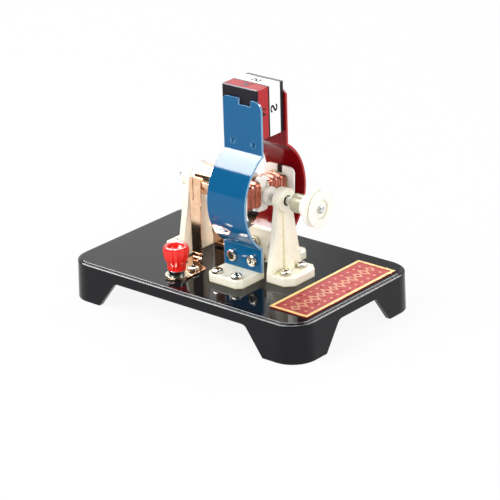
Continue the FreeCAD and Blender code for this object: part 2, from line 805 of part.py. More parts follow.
def rear_brush():
    half = blade_width / 2
    pad_half = pad_width / 2
    low = top_z + upturn_height + flex_gap
    shoulder = top_z + pad_bottom
    high = top_z + blade_top
    left = blade_centre_x - half
    right = blade_centre_x + half
    pad_left = pad_centre_x - pad_half
    pad_right = pad_centre_x + pad_half
    face = [(left, low, 0), (right, low, 0), (right, shoulder - pad_taper, 0), (pad_right, shoulder, 0), (pad_right, high, 0)]
    face = face + [(pad_left, high, 0), (pad_left, shoulder, 0), (left, shoulder - pad_taper, 0)]
    start = blade_y - blade_thickness / 2
    blade = slab(face, in_front_view(start), ALONG_Y * blade_thickness)
    slit_x = pad_centre_x + slit_shift
    slit_low = high - slit_depth
    slit = box(around(slit_x, slit_width / 2), around(blade_y, blade_thickness), (slit_low, high + cut_overrun))
    return blade.cut([slit, drill(slit_hole_radius, point(slit_x, start, slit_low), ALONG_Y * blade_thickness)])


def rear_lug():
    left = blade_centre_x - blade_width / 2
    right = blade_centre_x + blade_width / 2
    near = blade_y + lug_thickness / 2
    round_ = lug_corner_round
    plan = [(lug_left_x, terminal_y, 0), (lug_left_x, lug_shoulder_y, round_), (left, lug_neck_y, round_), (left, near, 0), (right, near, 0)]
    plan = plan + [(right, lug_neck_y, round_), (lug_right_x, lug_shoulder_y, round_), (lug_right_x, terminal_y, 0)]
    body = slab(plan, in_plan(top_z), ALONG_Z * lug_thickness)
    body = body.fuse(rod(terminal_plate_radius, point(terminal_x, terminal_y, top_z), ALONG_Z * lug_thickness))
    back = blade_y - lug_thickness / 2
    high = top_z + upturn_height
    inside = top_z + lug_thickness
    turn_up = [(back, top_z, bend_radius), (near + bend_radius, top_z, 0), (near + bend_radius, inside, 0), (near, inside, bend_radius - lug_thickness)]
    turn_up = turn_up + [(near, high, 0), (back, high, 0)]
    body = body.fuse(slab(turn_up, in_side_view(left), ALONG_X * blade_width))
    body = body.cut(drill(stud_radius + hole_clearance, point(terminal_x, terminal_y, top_z), ALONG_Z * lug_thickness))
    return body.cut(drill(screw_radius + hole_clearance, point(lug_screw_x, lug_screw_y, top_z), ALONG_Z * lug_thickness))


def lug_fasteners():
    shank = lug_thickness + base_wall + nut_height + screw_tail
    spots = list(enumerate(lug_screw_spots()))
    screws = [pan_screw(point(x, y, top_z + lug_thickness), ALONG_Z, shank, head_turn_step * (i + 1)) for i, (x, y) in spots]
    nuts = [hex_nut(nut_flats, screw_radius, nut_height, point(x, y, plate_under_z), -ALONG_Z) for i, (x, y) in spots]
    return screws, nuts


def rear_stud():
    low = plate_under_z - terminal_nut_height - stud_tail
    high = knob_bottom_z + knob_height - knob_recess_depth - stud_top_gap
    body = rod(stud_radius, point(terminal_x, terminal_y, low), ALONG_Z * (high - low))
    return body.cut(rod(socket_radius, point(terminal_x, terminal_y, high - socket_depth), ALONG_Z * (socket_depth + cut_overrun)))


def terminal_hardware():
    washers = []
    nuts = []
    for x, y in terminal_spots():
        start = point(x, y, top_z + lug_thickness)
        washers.append(tube(terminal_plate_radius, stud_radius + hole_clearance, start, ALONG_Z * washer_thickness))
        nuts.append(hex_nut(terminal_nut_flats, stud_radius, terminal_nut_height, point(x, y, plate_under_z), -ALONG_Z))
    return washers, nuts


def rear_collar():
    start = point(terminal_x, terminal_y, washer_top_z + flat_clearance)
    return tube(terminal_collar_radius, stud_radius + running_clearance, start, ALONG_Z * collar_height)


def rear_knob():
    side = [(0, 0), (knob_foot_radius, 0), (knob_foot_radius, knob_foot_height), (knob_waist_radius, knob_foot_height)]
    side = side + [(knob_radius, knob_waist_height), (knob_radius, knob_shoulder_height), (knob_top_radius, knob_height), (0, knob_height)]
    profile = [(terminal_x + r, knob_bottom_z + h, 0) for r, h in side]
    body = Part.Face(rounded_wire(profile, in_front_view(terminal_y))).revolve(point(terminal_x, terminal_y, 0), ALONG_Z, HALF_TURN * 2)
    start = point(terminal_x, terminal_y, knob_bottom_z)
    recess = rod(knob_recess_radius, start + ALONG_Z * (knob_height - knob_recess_depth), ALONG_Z * (knob_recess_depth + cut_overrun))
    body = body.cut([recess, drill(stud_radius + running_clearance, start, ALONG_Z * knob_height)])
    flute_centre = start + ALONG_X * (knob_radius + flute_radius - flute_depth) + ALONG_Z * knob_foot_height
    flute = rod(flute_radius, flute_centre, ALONG_Z * knob_height)
    return body.cut([turned(flute, start, ALONG_Z, HALF_TURN * 2 / flute_count * i) for i in range(flute_count)])


os.makedirs("parts", exist_ok=True)
save("base", [base()])
save("label_plate", [label_plate()])
right_post = post()
save("right_post", [right_post])
save("left_post", [mirrored_x(right_post)])
save("right_bush", [bush()])
save("left_bush", [mirrored_x(bush())])
front_settings = (front_bracket_width, front_bracket_shift, front_flange_reach, front_web_thickness, front_web_height, front_flange_spots())
rear_settings = (rear_bracket_width, rear_bracket_shift, rear_flange_reach, rear_web_thickness, rear_web_height, rear_flange_spots())
save("front_bracket", [bracket(*front_settings)])
save("rear_bracket", [other_strip(bracket(*rear_settings))])
save("base_screws", base_screws())
save("base_nuts", base_nuts())
save("front_pole_strip", [pole_strip(front_half_magnet, front_arc_offset)])
save("rear_pole_strip", [other_strip(pole_strip(rear_half_magnet, rear_arc_offset))])
front_screws, front_nuts = strip_fasteners(front_web_thickness)
rear_screws, rear_nuts = strip_fasteners(rear_web_thickness)
save("strip_screws", front_screws + [other_strip(screw) for screw in rear_screws])
save("strip_nuts", front_nuts + [other_strip(nut) for nut in rear_nuts])
save("magnet_rear_plate", [magnet_cover(rear_pole_thickness, rear_half_magnet)])
save("magnet_front_plate", [mirrored_y(magnet_cover(front_pole_thickness, front_half_magnet))])
save("magnet_north", [magnet_layer(-front_pole_thickness, 0)])
save("magnet_south", [magnet_layer(0, rear_pole_thickness)])
save("shaft", [shaft()])
save("commutator_hub", [on_armature(commutator_hub())])
segment = commutator_segment()
save("commutator_segment_a", [on_armature(segment)])
save("commutator_segment_b", [on_armature(other_pole(segment))])
save("armature_core", [on_armature(armature_core())])
save("armature_hub", [on_armature(armature_hub())])
for name, piece in (("bobbin", bobbin()), ("coil_core", inner_winding()), ("coil_winding", coil_winding())):
    save(name + "_a", [on_armature(piece)])
    save(name + "_b", [on_armature(other_pole(piece))])
save("spacer_collar", [spacer_collar()])
save("pulley_hub", [pulley_hub()])
save("pulley", [pulley()])
lug_screws, lug_nuts = lug_fasteners()
save("lug_screws", lug_screws)
save("lug_nuts", lug_nuts)
washers, terminal_nuts = terminal_hardware()
save("terminal_washers", washers)
save("terminal_nuts", terminal_nuts)
rear_pieces = {"brush": rear_brush(), "brush_lug": rear_lug(), "terminal_stud": rear_stud()}
rear_pieces.update({"terminal_collar": rear_collar(), "terminal_knob": rear_knob()})
for name, piece in rear_pieces.items():
    save("rear_" + name, [piece])
    save("front_" + name, [mirrored_y(piece)])
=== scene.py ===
import bpy
import json
import math
from mathutils import Matrix, Vector


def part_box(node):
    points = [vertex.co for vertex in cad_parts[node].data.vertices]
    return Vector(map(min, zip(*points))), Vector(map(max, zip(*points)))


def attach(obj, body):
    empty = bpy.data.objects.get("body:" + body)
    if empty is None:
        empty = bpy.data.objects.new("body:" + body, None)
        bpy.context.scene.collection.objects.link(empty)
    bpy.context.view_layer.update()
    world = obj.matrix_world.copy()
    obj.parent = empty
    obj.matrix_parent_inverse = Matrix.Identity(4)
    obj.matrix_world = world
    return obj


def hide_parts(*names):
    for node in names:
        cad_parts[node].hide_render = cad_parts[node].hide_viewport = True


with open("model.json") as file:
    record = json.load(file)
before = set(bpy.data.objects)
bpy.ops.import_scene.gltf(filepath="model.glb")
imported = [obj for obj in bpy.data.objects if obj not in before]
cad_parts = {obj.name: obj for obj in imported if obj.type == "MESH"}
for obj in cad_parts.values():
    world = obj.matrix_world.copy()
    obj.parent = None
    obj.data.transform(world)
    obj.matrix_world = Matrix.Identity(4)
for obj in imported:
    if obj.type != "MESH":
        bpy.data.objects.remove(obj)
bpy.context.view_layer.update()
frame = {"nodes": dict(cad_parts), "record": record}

nodes = frame["nodes"]
mm = 0.001
fullTurn = 2 * math.pi
quarterTurn = math.pi / 2


# shader helpers

shaderHabits = {
    "noiseSpan": (0.3, 0.7), "bevelSamples": 4, "hollowSamples": 8,
    "sharp": (0.99, 0.85), "sideways": (0.75, 0.95), "openness": (0.35, 0.8),
}


class Field:
    # one socket of a finish, with the arithmetic that its maths needs
    def __init__(self, finish, socket):
        self.finish = finish
        self.socket = socket

    def sum(self, operation, first, second=0.0):
        return self.finish.node("ShaderNodeMath", {"operation": operation}, {0: first, 1: second})

    def __add__(self, other):
        return self.sum("ADD", self, other)

    def __sub__(self, other):
        return self.sum("SUBTRACT", self, other)

    def __mul__(self, other):
        return self.sum("MULTIPLY", self, other)

    def __radd__(self, other):
        return self.sum("ADD", other, self)

    def __rsub__(self, other):
        return self.sum("SUBTRACT", other, self)

    def __rmul__(self, other):
        return self.sum("MULTIPLY", other, self)

    def largest(self, other):
        return self.sum("MAXIMUM", self, other)

    def sibling(self, name):
        # another output of the node that this socket belongs to
        return Field(self.finish, self.socket.node.outputs[name])


class Finish:
    def __init__(self, name, **settings):
        self.material = bpy.data.materials.new(name)
        self.material.use_nodes = True
        self.tree = self.material.node_tree
        self.tree.nodes.clear()
        self.shader = self.tree.nodes.new("ShaderNodeBsdfPrincipled")
        self.out = self.tree.nodes.new("ShaderNodeOutputMaterial")
        self.tree.links.new(self.shader.outputs[0], self.out.inputs[0])
        self.set(settings)

    def node(self, kind, settings=None, sockets=None, out=0):
        made = self.tree.nodes.new(kind)
        for key, value in (settings or {}).items():
            setattr(made, key, value)
        for key, value in (sockets or {}).items():
            self.plug(made.inputs[key], value)
        return Field(self, made.outputs[out])

    def plug(self, socket, value):
        if isinstance(value, Field):
            self.tree.links.new(value.socket, socket)
        else:
            socket.default_value = value

    def set(self, settings):
        for key, value in settings.items():
            if key == "Base Color" and not isinstance(value, Field):
                value = (*value, 1)
            self.plug(self.shader.inputs[key], value)

    def place(self, stretch=(1, 1, 1)):
        # the row frame in millimetres
        seat = self.node("ShaderNodeTexCoord", out="Object")
        scale = tuple(1 / mm * s for s in stretch)
        return self.node("ShaderNodeVectorMath", {"operation": "MULTIPLY"}, {0: seat, 1: scale})

    def noise(self, size, detail=2.0, stretch=(1, 1, 1)):
        sockets = {"Vector": self.place(stretch), "Scale": 1 / size, "Detail": detail}
        return self.node("ShaderNodeTexNoise", {"noise_dimensions": "3D"}, sockets)

    def between(self, value, start, stop, low=0.0, high=1.0):
        # a value that runs from start to stop, moved to run from low to high and held there
        return self.node("ShaderNodeMapRange", {}, {0: value, 1: start, 2: stop, 3: low, 4: high})

    def spread(self, value, low, high):
        return self.between(value, *shaderHabits["noiseSpan"], low, high)

    def blend(self, factor, first, second):
        first = first if isinstance(first, Field) else (*first, 1)
        second = second if isinstance(second, Field) else (*second, 1)
        return self.node("ShaderNodeMix", {"data_type": "RGBA"}, {0: factor, 6: first, 7: second}, out=2)

    def rounded(self, radius):
        # the normal with sharp edges rounded to a radius in millimetres
        return self.node("ShaderNodeBevel", {"samples": shaderHabits["bevelSamples"]}, {"Radius": radius * mm})

    def bump(self, height, depth, edge):
        # depth and edge in millimetres
        sockets = {"Height": height, "Distance": depth * mm, "Strength": 1.0, "Normal": self.rounded(edge)}
        self.set({"Normal": self.node("ShaderNodeBump", {}, sockets)})

    def hollow(self, reach, openness=shaderHabits["openness"]):
        # ambient occlusion that places painted shade: 0 deep inside a slot or corner, 1 on open faces; reach in
        # millimetres
        samples = {"samples": shaderHabits["hollowSamples"]}
        seen = self.node("ShaderNodeAmbientOcclusion", samples, {"Distance": reach * mm}, out="AO")
        return self.between(seen, *openness)

    def edgeHighlightMask(self, size):
        # 1 on sharp outer edges, 0 on flat faces; it places the painted edge highlight
        plain = self.node("ShaderNodeNewGeometry", out="Normal")
        sockets = {0: self.rounded(size), 1: plain}
        alike = self.node("ShaderNodeVectorMath", {"operation": "DOT_PRODUCT"}, sockets, out="Value")
        return self.between(alike, *shaderHabits["sharp"])

    def sideways(self):
        # 1 on faces that look along X, 0 on the others; it places the painted highlight on side faces
        split = self.node("ShaderNodeSeparateXYZ", {}, {0: self.node("ShaderNodeNewGeometry", out="Normal")})
        along = self.node("ShaderNodeMath", {"operation": "ABSOLUTE"}, {0: split})
        return self.between(along, *shaderHabits["sideways"])


def linear(red, green, blue):
    # a colour as a picture shows it, from 0 to 255, as the shader wants it (the sRGB curve)
    shares = [c / 255 for c in (red, green, blue)]
    return tuple(((s + 0.055) / 1.055) ** 2.4 if s > 0.04 else s / 12.92 for s in shares)


# finishes of the CAD pieces; grain, depth and edge are in millimetres

mouldings = {
    "base_black": {
        "colour": linear(16, 17, 21), "roughness": 0.08, "grain": 0.9, "depth": 0.004, "edge": 0.5,
        "specular": 0.2,
    },
    # the corner colours of the plastics are painted shade in deep corners
    "ivory": {
        "colour": linear(249, 245, 226), "roughness": 0.28, "grain": 1.6, "depth": 0.004, "edge": 0.45,
        "specular": 0.4, "paintedCornerShade": linear(214, 200, 152),
    },
    "white_plastic": {
        "colour": linear(248, 246, 238), "roughness": 0.3, "grain": 1.2, "depth": 0.004, "edge": 0.3,
        "specular": 0.4, "paintedCornerShade": linear(206, 200, 164),
    },
    "grey_plastic": {
        "colour": linear(172, 168, 142), "roughness": 0.22, "grain": 1.2, "depth": 0.008, "edge": 0.3,
        "specular": 0.4,
    },
    "magnet_black": {
        "colour": linear(24, 22, 28), "roughness": 0.35, "grain": 0.5, "depth": 0.01, "edge": 0.1,
        "specular": 0.2,
    },
    "magnet_red": {
        "colour": linear(178, 27, 35), "roughness": 0.16, "grain": 0.7, "depth": 0.004, "edge": 0.25,
        "specular": 0.3,
    },
    "magnet_white": {
        "colour": linear(248, 249, 250), "roughness": 0.3, "grain": 0.7, "depth": 0.01, "edge": 0.25,
        "specular": 0.4,
    },
    "knob_black": {
        "colour": linear(16, 16, 18), "roughness": 0.18, "grain": 1.2, "depth": 0.008, "edge": 0.3,
        "specular": 0.4,
    },
    "knob_red": {
        "colour": linear(236, 34, 26), "roughness": 0.2, "grain": 1.2, "depth": 0.008, "edge": 0.3,
        "specular": 0.5,
    },
    # the rim colours of the paints are a painted highlight on sharp edges and side faces
    "blue_paint": {
        "colour": linear(14, 87, 132), "roughness": 0.07, "grain": 0.8, "depth": 0.006, "edge": 0.35,
        "specular": 0.25, "rim": linear(170, 214, 240),
    },
    "red_paint": {
        "colour": linear(128, 10, 18), "roughness": 0.07, "grain": 0.8, "depth": 0.006, "edge": 0.35,
        "specular": 0.2, "rim": linear(214, 66, 66),
    },
    "label_red": {
        "colour": linear(140, 30, 31), "roughness": 0.3, "grain": 1.0, "depth": 0.004, "edge": 0.15,
        "specular": 0.14,
    },
    "ornament": {
        "colour": linear(176, 116, 84), "roughness": 0.3, "grain": 0.5, "depth": 0.004, "edge": 0.05,
        "specular": 0.4,
    },
    "gold_print": {
        "colour": linear(232, 190, 116), "roughness": 0.3, "grain": 0.5, "depth": 0.004, "edge": 0.05,
        "specular": 0.5,
    },
    "ink": {
        "colour": linear(18, 18, 22), "roughness": 0.4, "grain": 0.5, "depth": 0.004, "edge": 0.05,
        "specular": 0.1,
    },
}

# how much coarser than the grain the mottle and the gloss vary, and by how much they do
mouldingHabits = {
    "mottle": 8, "mottleDetail": 3, "darker": 0.96, "gloss": 3, "glossDetail": 4,
    # how much of the painted highlight side faces get, and how far the painted corner shade reaches, in
    # millimetres
    "smoother": 0.85, "rougher": 1.25, "sideHighlight": 0.45, "paintedCornerShadeReach": 2.0,
}


def moulding(name, colour, roughness, grain, depth, edge, specular, rim=None, paintedCornerShade=None):
    # rim is the colour of a painted highlight on sharp edges and on side faces that look along X, and the corner
    # colour is painted shade in deep corners
    habits = mouldingHabits
    finish = Finish(name)
    mottle = finish.noise(grain * habits["mottle"], habits["mottleDetail"])
    darker = tuple(c * habits["darker"] for c in colour)
    skin = finish.blend(finish.spread(mottle, 0, 1), colour, darker)
    if rim:
        # painted highlight on sharp edges and side faces
        paintedHighlight = finish.edgeHighlightMask(edge).largest(finish.sideways() * habits["sideHighlight"])
        skin = finish.blend(paintedHighlight, skin, rim)
    if paintedCornerShade:
        # painted shade in deep corners
        skin = finish.blend(finish.hollow(habits["paintedCornerShadeReach"]), paintedCornerShade, skin)
    gloss = finish.noise(grain * habits["gloss"], habits["glossDetail"])
    finish.set({
        "Base Color": skin,
        "Roughness": finish.spread(gloss, roughness * habits["smoother"], roughness * habits["rougher"]),
        "Specular IOR Level": specular,
    })
    finish.bump(finish.noise(grain), depth, edge)
    return finish


metals = {
    "brass": {
        "colour": linear(88, 78, 56), "dark": linear(42, 36, 28), "roughness": 0.28, "grain": 0.4,
    },
    "stud_brass": {
        "colour": linear(214, 196, 160), "dark": linear(150, 130, 96), "roughness": 0.22, "grain": 0.4,
    },
    "screw_steel": {
        "colour": linear(236, 232, 222), "dark": linear(190, 180, 150), "roughness": 0.12, "grain": 0.35,
        "reach": 1.2,
    },
    "collar_nickel": {
        "colour": linear(238, 236, 232), "dark": linear(190, 186, 180), "roughness": 0.08, "grain": 0.5,
    },
    "shaft_steel": {
        "colour": linear(232, 236, 234), "dark": linear(150, 152, 154), "roughness": 0.16, "grain": 0.3,
    },
    "core_steel": {
        "colour": linear(60, 60, 62), "dark": linear(24, 24, 26), "roughness": 0.38, "grain": 0.35,
    },
    "copper": {
        "colour": linear(252, 216, 184), "dark": linear(236, 178, 136), "roughness": 0.1, "grain": 0.5,
    },
    "enamel_wire": {
        "colour": linear(236, 142, 114), "dark": linear(164, 80, 60), "roughness": 0.2, "grain": 0.3,
        "reach": 1.1, "metallic": 0.6, "openness": (0.5, 0.95),
    },
    # wire_shade is the same wire darkened as painted shade, for the turns under the wraps and the crossing wires
    "wire_shade": {
        "colour": linear(112, 48, 36), "dark": linear(70, 26, 20), "roughness": 0.3, "grain": 0.3,
        "reach": 1.1, "metallic": 0.6, "openness": (0.5, 0.95),
    },
}

# tarnish is coarser than the grain and scratches are finer; both run across the turning marks
metalHabits = {
    # the slot colour is painted shade in slots and between wires
    "tarnish": 9, "tarnishDetail": 4, "stain": 0.7, "slot": linear(14, 12, 12), "glossDetail": 3,
    "brushed": (1, 0.12, 1), "smoother": 0.7, "rougher": 1.4, "scratch": 0.6, "scratched": (1, 0.1, 1),
    "scratchDetail": 2, "depth": 0.003, "edge": 0.2,
}


def metal(name, colour, dark, roughness, grain, reach=0, metallic=1.0, openness=shaderHabits["openness"]):
    # reach is how far round a slot, or into the gaps between wires, the metal takes painted shade; lacquered wire
    # is less metallic
    habits = metalHabits
    finish = Finish(name)
    tarnish = finish.noise(grain * habits["tarnish"], habits["tarnishDetail"])
    skin = finish.blend(finish.spread(tarnish, 0, habits["stain"]), colour, dark)
    if reach:
        skin = finish.blend(finish.hollow(reach, openness), habits["slot"], skin)
    gloss = finish.noise(grain, habits["glossDetail"], habits["brushed"])
    finish.set({
        "Base Color": skin,
        "Metallic": metallic,
        "Roughness": finish.spread(gloss, roughness * habits["smoother"], roughness * habits["rougher"]),
    })
    scratches = finish.noise(grain * habits["scratch"], habits["scratchDetail"], habits["scratched"])
    finish.bump(scratches, habits["depth"], habits["edge"])
    return finish


finishes = {name: moulding(name, **settings) for name, settings in mouldings.items()}
finishes.update({name: metal(name, **settings) for name, settings in metals.items()})

for part in frame["record"]["subparts"]:
    piece = nodes[part["node"]]
    piece.data.materials.clear()
    piece.data.materials.append(finishes[part["material_slot"]].material)
    for face in piece.data.polygons:
        face.material_index = 0
print("finishes on", len(nodes), "CAD pieces")


# mesh helpers

def addMesh(name, points, faces, finish, body="frame", smooth=True):
    # points in millimetres in the row frame
    mesh = bpy.data.meshes.new(name)
    mesh.from_pydata([Vector(point) * mm for point in points], [], faces)
    mesh.materials.append(finish.material)
    for face in mesh.polygons:
        face.use_smooth = smooth
    piece = bpy.data.objects.new(name, mesh)
    bpy.context.scene.collection.objects.link(piece)
    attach(piece, body)
    return piece


class Shell:
    # points and faces of one piece while it is put together
    def __init__(self):
        self.points = []
        self.faces = []

    def add(self, points, faces):
        first = len(self.points)
        self.points.extend(points)
        self.faces.extend([first + i for i in face] for face in faces)

    def grid(self, rows, capped=False):
        # closed rows of points joined by quads, with the two ends filled where capped
        across = len(rows[0])
        points = [point for row in rows for point in row]
        faces = []
        for r in range(len(rows) - 1):
            for c in range(across):
                d = (c + 1) % across
                faces.append([r * across + c, r * across + d, (r + 1) * across + d, (r + 1) * across + c])
        if capped:
            faces.append(list(range(across))[::-1])
            faces.append([(len(rows) - 1) * across + c for c in range(across)])
        self.add(points, faces)

    def wire(self, path, radius, sides=8):
        # a round wire along a path, with its frame carried from point to point
        ahead = (path[1] - path[0]).normalized()
        side = ahead.orthogonal().normalized()
        rows = []
        for i, spot in enumerate(path):
            before = path[max(i - 1, 0)]
            after = path[min(i + 1, len(path) - 1)]
            ahead = (after - before).normalized()
            side = (side - ahead * side.dot(ahead)).normalized()
            up = ahead.cross(side)
            turns = [fullTurn * k / sides for k in range(sides)]
            rows.append([spot + (side * math.cos(t) + up * math.sin(t)) * radius for t in turns])
        self.grid(rows, capped=True)

    def plate(self, corners, low, high):
        # an upright prism over an outline
        count = len(corners)
        points = [(x, y, z) for z in (low, high) for x, y in corners]
        faces = [[k, (k + 1) % count, count + (k + 1) % count, count + k] for k in range(count)]
        self.add(points, faces + [[count + k for k in range(count)], list(range(count))[::-1]])


def boxOf(name):
    # a CAD node's box as low and high corners in millimetres
    low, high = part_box(name)
    return Vector(low) / mm, Vector(high) / mm


def ring(centre, turns, reaches, height):
    # points round an upright axis, each at its own distance
    return [(centre.x + r * math.cos(t), centre.y + r * math.sin(t), height) for t, r in zip(turns, reaches)]


def turnedAlongShaft(points, centre, degrees):
    spin = Matrix.Rotation(math.radians(degrees), 3, "X")
    return [centre + spin @ (point - centre) for point in points]


# coils: close turns of wire, wraps of the same wire over them, and a lead to the commutator

rotorTurn = -3.0  # degrees that the armature stands off level

coilSizes = {
    "start": 2.95, "end": 18.0, "halfLength": 5.25, "halfHeight": 5.3, "corner": 1.3, "cornerSteps": 5,
    "wire": 0.52, "turns": 11, "slants": [0.4], "fill": 0.25,
    "wraps": 7, "wrapRise": 0.06, "wrapLift": 0.4, "wrapSlants": [-2.2, -0.4, -1.6, -0.8], "shadeBand": 0.4,
    "leadHeight": 5.5, "leadDepth": 3.4, "leadBend": 0.9,
}


def coilLoop(sizes, start, end, rise, slant):
    # one turn round the arm, from its left side over the top and back under it: (along X, up, from the axis)
    halfX = sizes["halfLength"] + rise
    halfZ = sizes["halfHeight"] + rise
    corner = sizes["corner"] + rise
    middle = start + slant
    spots = [(-halfX, 0, start)]
    corners = [
        (-1, 1, math.pi, start), (1, 1, quarterTurn, middle), (1, -1, 0, middle), (-1, -1, -quarterTurn, end),
    ]
    for signX, signZ, angle, depth in corners:
        for k in range(sizes["cornerSteps"] + 1):
            turn = angle - quarterTurn * k / sizes["cornerSteps"]
            x = signX * (halfX - corner) + corner * math.cos(turn)
            z = signZ * (halfZ - corner) + corner * math.sin(turn)
            spots.append((x, z, depth))
    return spots


def coilPath(sizes, centre, turns, start, end, rise, slants):
    pitch = (end - start) / turns
    spots = []
    for i in range(turns):
        here = start + pitch * i
        slant = max(min(slants[i % len(slants)], end - here), start - here)
        spots.extend(coilLoop(sizes, here, min(here + pitch, end), rise, slant))
    return [Vector((centre.x + x, -depth, centre.z + z)) for x, z, depth in spots]


def coilShell(sizes, centre):
    shell = Shell()
    low = sizes["start"] + sizes["wire"]
    high = sizes["end"] - sizes["wire"]
    body = coilPath(sizes, centre, sizes["turns"], low, high, 0, sizes["slants"])
    segmentEnd = boxOf("commutator_segment_a")[1].x
    leadX = centre.x - sizes["halfLength"]
    leadZ = centre.z + sizes["leadHeight"]
    depth = -sizes["leadDepth"]
    bend = sizes["leadBend"]
    lead = [(segmentEnd, depth, leadZ), (leadX - bend, depth, leadZ), (leadX, depth, leadZ - bend)]
    shell.wire([Vector(spot) for spot in lead] + body, sizes["wire"])
    shell.under = len(shell.faces)
    raised = {**sizes, "halfHeight": sizes["halfHeight"] + sizes["wrapLift"]}
    wraps = coilPath(raised, centre, sizes["wraps"], low, high, sizes["wrapRise"], sizes["wrapSlants"])
    shell.wire(wraps, sizes["wire"])
    inner = {**sizes, **{key: sizes[key] - sizes["fill"] for key in ("halfLength", "halfHeight")}}
    ends = [coilLoop(inner, s, s, 0, 0) for s in (sizes["start"], sizes["end"])]
    shell.grid([[Vector((centre.x + x, -s, centre.z + z)) for x, z, s in row] for row in ends], capped=True)
    return shell


def makeCoils(sizes):
    low, high = boxOf("armature_core")
    centre = (low + high) / 2
    shell = coilShell(sizes, centre)
    bed = sizes["halfHeight"] - sizes["shadeBand"]
    for letter, angle in (("a", rotorTurn), ("b", rotorTurn + 180)):
        points = turnedAlongShaft(shell.points, centre, angle)
        coil = addMesh("coil" + letter.upper(), points, shell.faces, finishes["enamel_wire"], "rotor")
        coil.data.materials.append(finishes["wire_shade"].material)
        for face in coil.data.polygons[:shell.under]:
            # painted shade: the turns under the wraps are darker above and below the arm, where the wraps shade
            # them
            face.material_index = int(min(abs(shell.points[k].z - centre.z) for k in face.vertices) > bed)
        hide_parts("coil_core_" + letter, "coil_winding_" + letter)


makeCoils(coilSizes)
print("coils")


# hub between the coils; the outline is a quarter of it as seen along the shaft: (across, up)

hubSizes = {
    "soft": 0.35, "cap": 2.2, "waist": 2.15, "saddle": 5.4,
    "outline": [
        (2.15, 0), (2.15, 6.32), (2.6, 6.6), (3.45, 6.85), (3.9, 7.4),
        (3.9, 8.1), (3.5, 8.7), (2.7, 9.0), (1.2, 9.08), (0, 9.08),
    ],
    "crossings": (-1.7, -0.6, 0.5, 1.6), "crossRun": 3.4, "crossRise": 0.6, "crossWire": 0.45, "crossSlant": 0.5,
}


def hubShell(sizes, low, high, centre):
    # a rounded cap at each end face and a lower saddle between them
    quarter = sizes["outline"]
    above = quarter + [(-y, z) for y, z in quarter[-2::-1]]
    around = above + [(-y, -z) for y, z in quarter[1:]] + [(y, -z) for y, z in quarter[-2:0:-1]]
    soft = sizes["soft"]
    saddle = (sizes["waist"], sizes["saddle"])
    full = (high.y - low.y, high.z - low.z)
    left = low.x + sizes["cap"]
    right = high.x - sizes["cap"]
    places = [
        (low.x, soft, full), (low.x + soft, 0, full), (left - soft, 0, full), (left, soft, full),
        (left, 0, saddle), (right, 0, saddle),
        (right, soft, full), (right + soft, 0, full), (high.x - soft, 0, full), (high.x, soft, full),
    ]
    rows = []
    for x, inset, (widest, highest) in places:
        row = []
        for y, z in around:
            shrink = 1 - inset / max(Vector((y, z)).length, 1)
            across = max(-widest, min(widest, y * shrink))
            up = max(-highest, min(highest, z * shrink))
            row.append(Vector((x, centre.y + across, centre.z + up)))
        rows.append(row)
    shell = Shell()
    shell.grid(rows, capped=True)
    return shell


def crossingShell(sizes, centre):
    # the wires that cross the saddle from coil to coil, above and below, in the wire's painted-shade finish
    shell = Shell()
    run = sizes["crossRun"]
    shift = sizes["crossSlant"]
    for side in (-1, 1):
        level = centre.z + side * (sizes["saddle"] + sizes["crossWire"])
        rise = side * sizes["crossRise"]
        for place in sizes["crossings"]:
            path = [(-shift, -run, 0), (-shift / 2, -run / 2, rise), (shift / 2, run / 2, rise), (shift, run, 0)]
            spots = [Vector((centre.x + place + x, centre.y + y, level + z)) for x, y, z in path]
            shell.wire(spots, sizes["crossWire"])
    return shell


def makeHub(sizes):
    low, high = boxOf("armature_hub")
    centre = (low + high) / 2
    block = hubShell(sizes, low, high, centre)
    points = turnedAlongShaft(block.points, centre, rotorTurn)
    hub = addMesh("hubBlock", points, block.faces, finishes["white_plastic"], "rotor", smooth=False)
    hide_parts("armature_hub")
    wires = crossingShell(sizes, centre)
    points = turnedAlongShaft(wires.points, centre, rotorTurn)
    addMesh("crossWires", points, wires.faces, finishes["wire_shade"], "rotor")


makeHub(hubSizes)
print("hub")


# knobs; the profile runs from the bottom up: (share of the height, share of the radius)

knobSizes = {
    "ridges": 12, "steps": 8, "valley": 0.75, "sharpness": 1.5, "footRidge": 0.45, "lipRidge": 0.5,
    "footShare": 0.33, "lipShare": 0.95, "rim": 0.45, "recess": 4.0, "recessDepth": 2.6, "bore": 3.1,
    "profile": [
        (0, 0.69), (0.04, 0.70), (0.32, 0.735), (0.335, 0.82), (0.5, 0.91), (0.66, 0.975),
        (0.78, 1.0), (0.89, 0.985), (0.95, 0.945), (0.985, 0.905), (1.0, 0.86),
    ],
}


def makeKnob(name, side, finish, sizes):
    low, high = boxOf(side + "_terminal_knob")
    centre = (low + high) / 2
    radius = (high.x - low.x) / 2
    height = high.z - low.z
    count = sizes["ridges"] * sizes["steps"]
    turns = [fullTurn * k / count for k in range(count)]
    dips = [(0.5 + 0.5 * math.cos(turn * sizes["ridges"])) ** sizes["sharpness"] for turn in turns]
    rows = []
    for rise, share in sizes["profile"]:
        ridged = sizes["footRidge"] if rise < sizes["footShare"] else 1
        if rise >= sizes["lipShare"]:
            ridged = sizes["lipRidge"]
        valley = sizes["valley"] * ridged
        rows.append(ring(centre, turns, [radius * share - valley * dip for dip in dips], low.z + height * rise))
    recess, depth, bore = sizes["recess"], sizes["recessDepth"], sizes["bore"]
    inner = [(recess + sizes["rim"], 0), (recess, sizes["rim"]), (recess, depth), (bore, depth), (bore, height)]
    for reach, drop in inner:
        rows.append(ring(centre, turns, [reach] * count, high.z - drop))
    shell = Shell()
    shell.grid(rows + rows[:1])
    knob = addMesh(name, shell.points, shell.faces, finish, side + "_knob")
    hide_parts(side + "_terminal_knob")


